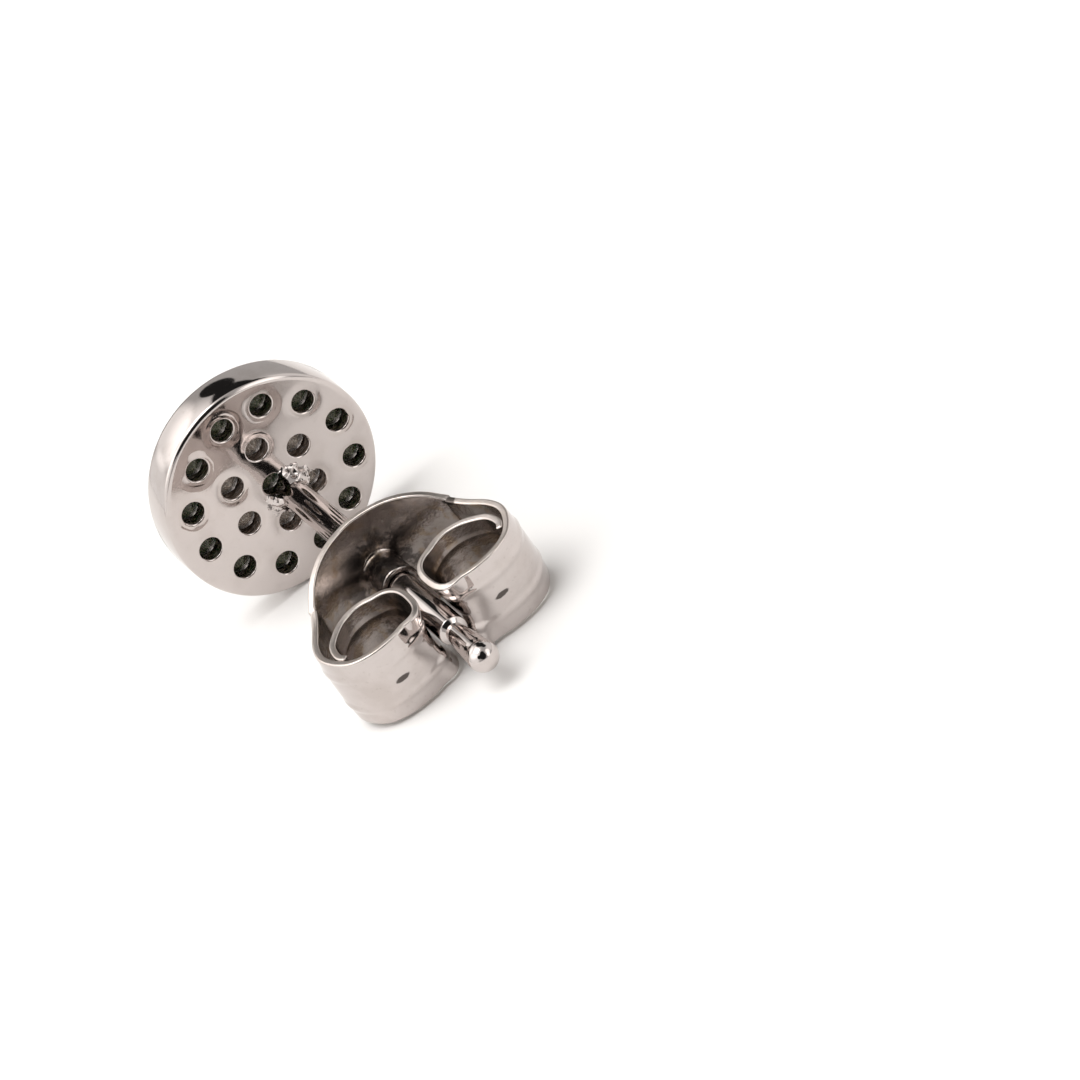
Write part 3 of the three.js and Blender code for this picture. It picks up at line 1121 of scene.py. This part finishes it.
@dataclass
class Post:
    """The straight post, with the solder that holds it. Lengths are mm."""

    radius: float = 0.4
    ball_radius: float = 0.425
    neck_radius: float = 0.27
    length: float = 11.5
    across: float = 0.28
    up: float = -0.489
    root: float = 0.12
    groove_from_tip: float = 2.03
    shoulder: float = 0.05
    neck_swell: tuple[Corner, ...] = ((0.0, 0.06), (0.025, 0.3), (0.08, 0.8))
    ball_start: Corner = (0.035, 0.3)
    solder_reach: float = 0.4
    solder_rise: float = 0.42
    solder_sunk: float = 0.04
    lump_pitch: float = 4.2
    lump_heights: Corner = (0.11, 0.05)
    sides: int = 96

    @property
    def foot(self) -> Point:
        """Where the post's axis meets the back plate."""
        return (self.across, self.up, 0.0)

    def _shaft(self, bench: Bench) -> bpy.types.Object:
        """The shaft from its root to its round tip.

        Args:
            bench: The bench to work on.

        Returns:
            The shaft, round +Z.
        """
        groove = self.length - self.groove_from_tip
        centre = self.length - self.ball_radius
        edge = groove - self.shoulder
        steps = 24
        outline = [(0.0, -self.root), (self.radius, -self.root)]
        outline += [(self.radius, edge * i / steps) for i in range(1, steps)]
        outline += quarter((self.radius - self.shoulder, edge), self.shoulder, 0, 80, 5)
        neck = [(self.neck_radius + wider, groove + beyond) for wider, beyond in self.neck_swell]
        neck.append((self.ball_radius - self.ball_start[0], centre - self.ball_start[1]))
        outline += [(float(r), float(z)) for r, z in smooth_line(neck, 22)]
        outline += quarter((0.0, centre), self.ball_radius, -24, 90, 20)[:-1]
        outline += [(0.0, self.length)]
        return bench.turned("post_shaft", outline, self.sides)

    def _solder(self, bench: Bench, head: Head) -> bpy.types.Object:
        """The lumpy skirt of solder round the post's foot, open at the holes.

        Args:
            bench: The bench to work on.
            head: The head, whose holes stay open.

        Returns:
            The solder, at the post's foot.
        """
        overlap = 0.05
        inside = self.radius - overlap
        curve = [
            (inside + (self.solder_reach + overlap) * share, self.solder_rise * (1 - share) ** 2.2)
            for share in (0.06, 0.12, 0.2, 0.3, 0.4, 0.5, 0.6, 0.7, 0.8, 0.9)
        ]
        low = -self.solder_sunk
        outline = [(0.0, low), (self.radius + self.solder_reach, low), *curve[::-1]]
        outline += [(inside, self.solder_rise), (0.0, self.solder_rise)]
        skirt = bench.turned("post_solder", outline, self.sides)
        for vertex in skirt.data.vertices:
            place = vertex.co * self.lump_pitch
            coarse, fine = self.lump_heights
            lump = noise.noise(place) * coarse + noise.noise(place * 2.7) * fine
            outward = Vector((vertex.co.x, vertex.co.y, 0.0)).normalized()
            share = min(1.0, max(0.0, (vertex.co.xy.length - self.radius) / 0.08))
            vertex.co += (outward * 0.6 + Vector((0.0, 0.0, 0.8))) * (lump * share)
        skirt.data.transform(Matrix.Translation(self.foot))
        wide, above, below = head.hole_radius, 1.5, -0.4
        outline = [(0.0, above), (wide, above), (wide, below), (0.0, below)]
        hole = bench.turned("hole_tool", outline, head.hole_sides)
        bench.cut(skirt, bench.copies(hole, "hole_tools", head.seats()[: head.inner_count + 1]))
        return skirt

    def build(self, bench: Bench, head: Head, silver: Silver) -> None:
        """Models the shaft and its solder.

        Args:
            bench: The bench to work on.
            head: The head that the post stands on.
            silver: The shaft's finish.
        """
        shaft = self._shaft(bench)
        shaft.data.transform(Matrix.Translation(self.foot))
        bench.shade(shaft, 40.0)
        bench.finish(shaft, Body.HEAD, Slot.SILVER, silver.made(bench.place))
        skirt = self._solder(bench, head)
        bench.shade(skirt, 50.0)
        solder = SolderSilver("silver_solder", roughness=0.08, smudge=0.15, ripple_height=0.004)
        bench.finish(skirt, Body.HEAD, Slot.SILVER, solder.made(bench.place))


# The clutch


def smooth_line(points: Sequence[Corner], count: int) -> np.ndarray:
    """A centripetal Catmull-Rom curve through points, as evenly spaced stations.

    Args:
        points: The points that the curve passes through.
        count: How many stations it gets.

    Returns:
        The stations, a row each.
    """
    known = np.array(points, float)
    known = np.vstack([2 * known[0] - known[1], known, 2 * known[-1] - known[-2]])
    fine = []
    for i in range(len(known) - 3):
        p = known[i : i + 4]
        t = np.concatenate([[0.0], np.cumsum(np.linalg.norm(np.diff(p, axis=0), axis=1) ** 0.5)])
        for s in np.linspace(t[1], t[2], 24, endpoint=False):
            a = [p[k] + (p[k + 1] - p[k]) * (s - t[k]) / (t[k + 1] - t[k]) for k in range(3)]
            b = [a[k] + (a[k + 1] - a[k]) * (s - t[k]) / (t[k + 2] - t[k]) for k in range(2)]
            fine.append(b[0] + (b[1] - b[0]) * (s - t[1]) / (t[2] - t[1]))
    fine = np.array([*fine, known[-2]])
    run = np.concatenate([[0.0], np.cumsum(np.linalg.norm(np.diff(fine, axis=0), axis=1))])
    even = np.linspace(0.0, run[-1], count)
    return np.column_stack([np.interp(even, run, fine[:, k]) for k in range(2)])


@dataclass
class Clutch:
    """The butterfly clutch, bent from one strip of sheet. Lengths are mm."""

    post: Post
    thickness: float = 0.19
    place: float = 5.3
    clearance: float = 0.03
    plate_half_height: float = 1.8
    plate_half_span: float = 2.25
    plate_bow: float = 1.17
    corner_run: float = 0.7
    corner_from: float = 1.5
    strip_half_width: float = 1.12
    strip_crown: float = 0.05
    scroll_reach: float = 3.02
    scroll_rise: float = 3.02
    saddle_press: float = 0.22
    saddle_width: float = 0.5
    collar_rise: float = 1.2
    collar_wall: float = 0.1
    collar_flare: float = 0.68
    collar_fillet: float = 0.25
    collar_lip: Corner = (0.06, 0.08)
    collar_mouth: float = 0.3
    collar_throat: float = 0.66
    edge_round: float = 0.075
    plate_steps: int = 28
    scroll_steps: int = 150
    columns: int = 36
    band_depth: float = 0.03
    band_at: float = 0.5
    band_half: float = 0.13
    collar_sides: int = 96
    scroll_rows: tuple[Corner, ...] = (
        (0.83, 0.2), (0.96, 0.4), (1.0, 0.58), (0.94, 0.76), (0.82, 0.9), (0.65, 0.975),
        (0.43, 1.0), (0.21, 0.975), (0.045, 0.89), (0.0, 0.7), (0.02, 0.54), (0.09, 0.42),
        (0.22, 0.33), (0.4, 0.3), (0.58, 0.34), (0.73, 0.43), (0.825, 0.52), (0.865, 0.62),
        (0.868, 0.73), (0.824, 0.796),
    )
    plate_rows: tuple[Corner, ...] = (
        (0.0, 1.0), (0.5, 0.965), (0.7, 0.91), (0.82, 0.85), (0.93, 0.755), (1.0, 0.675),
    )

    @property
    def nearest(self) -> float:
        """How near the sheet's middle line comes to the post's axis."""
        return self.post.radius + self.clearance + self.thickness / 2

    def _bow(self, across: float) -> float:
        """How far the plate lies beyond its middle, at a place across it."""
        return self.plate_bow * (across / self.plate_half_span) ** 2

    def _half_line(self) -> list[tuple[float, float, bool]]:
        """The sheet's line from the plate's middle to a free end: across, along, and if plate.

        Returns:
            The line's points, one after the other.
        """
        spans = np.linspace(0.0, self.plate_half_span, self.plate_steps + 1)
        plate = [(float(x), self.place + self._bow(float(x)), True) for x in spans]
        start = plate[-1]
        reach = self.scroll_reach - self.nearest
        bends = [
            (self.nearest + reach * across, start[1] + self.scroll_rise * along)
            for across, along in self.scroll_rows
        ]
        line = smooth_line([(start[0], start[1]), *bends], self.scroll_steps + 1)[1:]
        return plate + [(max(self.nearest, float(x)), float(z), False) for x, z in line]

    def _half_width(self, across: float, along: float, is_plate: bool) -> float:
        """Half the sheet's width: the plate's rounded outline, and the strip's beyond it.

        Args:
            across: The station's place across the clutch.
            along: Its place along the post.
            is_plate: Whether it is on the plate.

        Returns:
            Half the width.
        """
        if not is_plate:
            beyond = (along - self.place - self.plate_bow) / self.corner_run
            share = min(1.0, max(0.0, beyond)) if abs(across) > self.corner_from else 1.0
            wide = self.plate_half_height * self.plate_rows[-1][1] - self.strip_half_width
            return self.strip_half_width + wide * (1 - share) ** 2
        shares, heights = zip(*self.plate_rows)
        smooth = smooth_line(list(zip(shares, heights)), 60)
        height = float(np.interp(abs(across) / self.plate_half_span, smooth[:, 0], smooth[:, 1]))
        return max(self.strip_half_width, self.plate_half_height * height)

    def _lean(self, across: float, is_plate: bool) -> float:
        """How far the strip's edges lean out of its middle line at a station.

        Args:
            across: The station's place across the clutch.
            is_plate: Whether it is on the plate.

        Returns:
            The lean, outwards below zero.
        """
        if is_plate:
            return 0.0
        beside = max(0.0, 1 - (abs(across) - self.nearest) / self.saddle_width)
        beside = beside * beside * (3 - 2 * beside)
        return -self.strip_crown + (self.saddle_press + self.strip_crown) * beside

    def _band(self, column: float) -> float:
        """How deep the two shallow grooves rolled along the strip lie at a place across it."""
        share = max(0.0, 1 - (abs(abs(column) - self.band_at) / self.band_half) ** 2)
        return -self.band_depth * share * share

    def _sheet(self, bench: Bench) -> bpy.types.Object:
        """The bent sheet: a grid laid along the line of its bends, then given its gauge.

        Args:
            bench: The bench to work on.

        Returns:
            The sheet, with the post's axis as +Z.
        """
        half = self._half_line()
        line = [(-x, z, plate) for x, z, plate in reversed(half[1:])] + half
        rows, columns = len(line), self.columns + 1
        counts = {"x_subdivisions": rows - 1, "y_subdivisions": columns - 1}
        sheet = bench.start(bpy.ops.mesh.primitive_grid_add, "clutch_sheet", size=2.0, **counts)
        points = np.array([[x, z] for x, z, _ in line])
        tangents = np.gradient(points, axis=0)
        tangents /= np.linalg.norm(tangents, axis=1)[:, None]
        for vertex in sheet.data.vertices:
            row = round((vertex.co.x + 1) / 2 * (rows - 1))
            column = vertex.co.y
            x, z, is_plate = line[row]
            off = -self._lean(x, is_plate) * column * column
            if not is_plate:
                beyond = (z - self.place - self.plate_bow) / self.corner_run
                off += self._band(column) * min(1.0, beyond)
            tx, tz = tangents[row]
            vertex.co = (x - tz * off, self._half_width(x, z, is_plate) * column, z + tx * off)
        for _ in range(2):
            sheet.data.materials.append(None)
        gauge = {"thickness": self.thickness, "offset": 0.0, "use_even_offset": True}
        bench.modify(sheet, "SOLIDIFY", material_offset=1, **gauge)
        corner = {"limit_method": "ANGLE", "angle_limit": math.radians(60)}
        bench.modify(sheet, "BEVEL", width=self.edge_round, segments=4, **corner)
        return sheet

    def _collar(self, bench: Bench) -> bpy.types.Object:
        """The collar drawn out of the plate's middle, its foot bent to the plate's bow.

        Args:
            bench: The bench to work on.

        Returns:
            The collar, still solid.
        """
        bore = self.post.radius + self.clearance
        wall = bore + self.collar_wall
        rise = self.collar_rise
        foot = self.thickness / 2
        flare = self.collar_flare - wall
        fillet = rise * self.collar_fillet - foot
        outside = [
            (wall + flare * (1 - share) ** 2.0, foot + fillet * share**2.0)
            for share in np.linspace(0.0, 1.0, 18)
        ]
        inset, lip_radius = self.collar_lip
        lip = quarter((wall - inset, rise - inset), lip_radius, -35, 90, 8)
        outline = [(0.0, 0.0), (self.collar_flare, 0.0), *outside, *lip, (0.0, rise)]
        collar = bench.turned("collar", outline, self.collar_sides)
        for vertex in collar.data.vertices:
            radius = vertex.co.xy.length
            share = min(1.0, max(0.0, (radius - wall) / flare))
            vertex.co.z += self.place + self._bow(vertex.co.x) * share
        return collar

    def _passage(self, bench: Bench) -> bpy.types.Object:
        """The tool that opens the plate and the collar for the post.

        Args:
            bench: The bench to work on.

        Returns:
            The tool.
        """
        bore = self.post.radius + self.clearance
        over = 1.0
        top = self.place + self.collar_rise + over
        mouth = self.place - self.thickness
        depth = self.collar_rise * self.collar_throat
        throat = [
            (bore + self.collar_mouth * (1 - share) ** 2.2, mouth + depth * share)
            for share in np.linspace(0.0, 1.0, 10)
        ]
        outline = [(0.0, mouth - over), (bore + self.collar_mouth, mouth - over), *throat]
        outline += [(bore, top), (0.0, top)]
        return bench.turned("passage_tool", outline, self.collar_sides)

    def _mark_inside(self, sheet: bpy.types.Object) -> None:
        """Writes on the sheet which faces lie inside its bends, where shade and reflection are painted.

        Args:
            sheet: The sheet, whose two sides still have their own material slots.
        """
        faces = sheet.data.polygons
        near = self.place + 0.5
        on_plate = [f for f in faces if f.normal.z > 0.8 and f.center.y > 0.8 and f.center.z < near]
        inner = max(on_plate, key=lambda face: face.area).material_index
        inside = sheet.data.attributes.new(INSIDE, "FLOAT", "FACE")
        inside.data.foreach_set("value", [float(f.material_index == inner) for f in faces])
        faces.foreach_set("material_index", [0] * len(faces))

    def build(self, bench: Bench, silver: Silver) -> None:
        """Models the clutch as one piece.

        Args:
            bench: The bench to work on.
            silver: Its finish.
        """
        sheet = self._sheet(bench)
        bench.cut(sheet, self._collar(bench), "UNION")
        bench.cut(sheet, self._passage(bench))
        self._mark_inside(sheet)
        sheet.data.transform(Matrix.Translation((self.post.across, self.post.up, 0.0)))
        bench.shade(sheet, 38.0)
        sheet.name = "clutch_butterfly"
        bench.finish(sheet, Body.CLUTCH, Slot.SILVER, silver.made(bench.place), ["clutch"])


# The studio


@dataclass(frozen=True)
class Softbox:
    """A soft light in the surroundings, or a dark card where its strength is negative."""

    towards: Point
    inner: float
    outer: float
    strength: float

    def mask(self, graph: Graph, here: Wire) -> Wire:
        """Where the box stands in the surroundings, from 1 in its middle to 0 outside it.

        Args:
            graph: The graph to add to.
            here: The direction that is looked in.

        Returns:
            The mask.
        """
        towards = tuple(Vector(self.towards).normalized())
        facing = graph.vector("DOT_PRODUCT", here, towards, output="Value")
        outer, inner = (math.cos(math.radians(angle)) for angle in (self.outer, self.inner))
        return graph.step(facing, outer, inner)


@dataclass
class Studio:
    """The pale floor, the surroundings that the metal mirrors, and the camera."""

    camera_at: Point = (-27.6, 145.4, 212.9)
    camera_forward: Point = (0.123, -0.577, -0.807)
    camera_down: Point = (-0.642, -0.667, 0.379)
    lens: float = 333.333
    sensor: float = 36.0
    floor_size: float = 1.2
    floor_color: Point = (0.93, 0.915, 0.9)
    floor_mottle: Point = (0.96, 0.95, 0.94)
    lamp_at: Point = (-60.0, -20.0, 260.0)
    lamp_size: float = 160.0
    lamp_power: float = 0.26
    backdrop_light: float = 1.05
    base_light: float = 0.55
    least_light: float = 0.02
    light_color: Point = (1.0, 0.985, 0.965)
    boxes: tuple[Softbox, ...] = (
        Softbox((-0.42, 0.1, 0.9), 25, 52, 0.95),
        Softbox((-0.36, 0.74, 0.57), 15, 23, 0.7),
        Softbox((-0.9, -0.1, 0.35), 22, 45, 0.7),
        Softbox((0.66, -0.62, 0.42), 10, 20, 1.3),
        Softbox((0.9, 0.1, 0.35), 18, 38, 0.45),
        Softbox((-0.66, 0.74, 0.08), 14, 22, 0.55),
        Softbox((0.52, -0.84, 0.16), 9, 15, 1.4),
        Softbox((0.26, 0.73, 0.63), 6, 11, -2.4),
        Softbox((0.42, 0.35, 0.84), 12, 22, -2.4),
        Softbox((0.66, 0.05, 0.75), 8, 16, -1.0),
        Softbox((-0.05, 0.98, 0.12), 11, 18, -1.6),
        Softbox((-0.123, -0.88, 0.455), 17, 25, -2.8),
        Softbox((0.02, -0.72, 0.69), 9, 17, -2.4),
        Softbox((-0.54, -0.66, 0.52), 7, 14, -1.6),
    )

    def _surroundings(self) -> None:
        """Fills the world: white where the camera looks, softboxes and cards elsewhere."""
        world = bpy.data.worlds.new("surroundings")
        bpy.context.scene.world = world
        world.use_nodes = True
        graph = Graph(world.node_tree)
        here = graph.node("ShaderNodeTexCoord", output="Generated")
        light: Term = self.base_light
        for box in self.boxes:
            light = light + box.mask(graph, here) * box.strength
        seen = graph.node("ShaderNodeLightPath", output="Is Camera Ray")
        mirrored, backdrop = (
            graph.node("ShaderNodeBackground", {}, {"Color": (*color, 1.0), "Strength": strength})
            for color, strength in (
                (self.light_color, light.highest(self.least_light)),
                ((1.0, 1.0, 1.0), self.backdrop_light),
            )
        )
        both = graph.node("ShaderNodeMixShader", {}, {0: seen, 1: mirrored, 2: backdrop})
        graph.finish(both, "World")

    def _floor(self, bench: Bench) -> None:
        """The pale table top on which the stud lies.

        Args:
            bench: The bench to work on.
        """
        floor = bench.start(bpy.ops.mesh.primitive_plane_add, "table_top", size=self.floor_size)
        material, graph = new_material("pale_table")
        mottle = graph.clouds(graph.node("ShaderNodeTexCoord", output="Object"), 0.02, 3.0)
        color = graph.blend(mottle, self.floor_color, self.floor_mottle)
        sockets = {"Base Color": color, "Roughness": 0.8}
        graph.finish(graph.node("ShaderNodeBsdfPrincipled", {}, sockets))
        floor.data.materials.append(material)

    def _lamp(self) -> None:
        """A square soft lamp over the stud."""
        lamp = bpy.data.lights.new("overhead", "AREA")
        lamp.shape = "SQUARE"
        lamp.size = self.lamp_size * MM
        lamp.energy = self.lamp_power
        stand = bpy.data.objects.new("overhead", lamp)
        stand.location = Vector(self.lamp_at) * MM
        stand.rotation_euler = (-Vector(self.lamp_at)).to_track_quat("-Z", "Y").to_euler()
        bpy.context.scene.collection.objects.link(stand)

    def _camera(self, place: StudPlace) -> None:
        """The camera, at the photograph's angle to the stud.

        Args:
            place: The stud's place in the frame.
        """
        turn = place.matrix.to_3x3()
        forward = (turn @ Vector(self.camera_forward)).normalized()
        right = (turn @ Vector(self.camera_down)).cross(forward).normalized()
        up = right.cross(forward)
        data = bpy.data.cameras.new("camera")
        data.sensor_width = self.sensor
        data.lens = self.lens
        data.clip_start = 0.01
        data.clip_end = 10.0
        camera = bpy.data.objects.new("camera", data)
        camera.rotation_mode = "QUATERNION"
        camera.rotation_quaternion = Matrix((right, up, -forward)).transposed().to_quaternion()
        camera.location = place.matrix @ Vector(self.camera_at)
        bpy.context.scene.collection.objects.link(camera)
        bpy.context.scene.camera = camera

    def build(self, bench: Bench) -> None:
        """Sets the studio up.

        Args:
            bench: The bench to work on.
        """
        bpy.context.scene.view_settings.view_transform = "Standard"
        self._surroundings()
        self._floor(bench)
        self._lamp()
        self._camera(bench.place)
        log.info("studio ready")


def main() -> None:
    """Builds the studio and the stud, one sub-assembly after the other."""
    logging.basicConfig(level=logging.INFO, format="%(name)s: %(message)s")
    head = Head()
    bench = Bench(StudPlace.from_frame(head.culet_sink))
    Studio().build(bench)
    silver = Silver("silver_polished")
    head.build(bench, silver)
    head.dress_stones(bench.place)
    post = Post()
    post.build(bench, head, silver)
    sheet_silver = SheetSilver(
        "silver_sheet",
        axis=(post.across, post.up),
        upper=tuple(bench.place.upper),
        # Spots of painted dark reflection on the scrolls and the plate's corners.
        dark_reflection_spots=((1.8, -0.489, 9.58), (-1.48, -0.489, 9.58), (2.5, 0.65, 6.6), (-1.95, 0.52, 6.72)),
        stain_share=0.34,
        stain_size=1.5,
        roughness=0.07,
        smudge=0.06,
        wave_height=0.014,
        ripple_height=0.0012,
        scratch_run=(1.0, 9.0, 1.0),
    )
    Clutch(post).build(bench, sheet_silver)


if __name__ == "__main__":
    main()
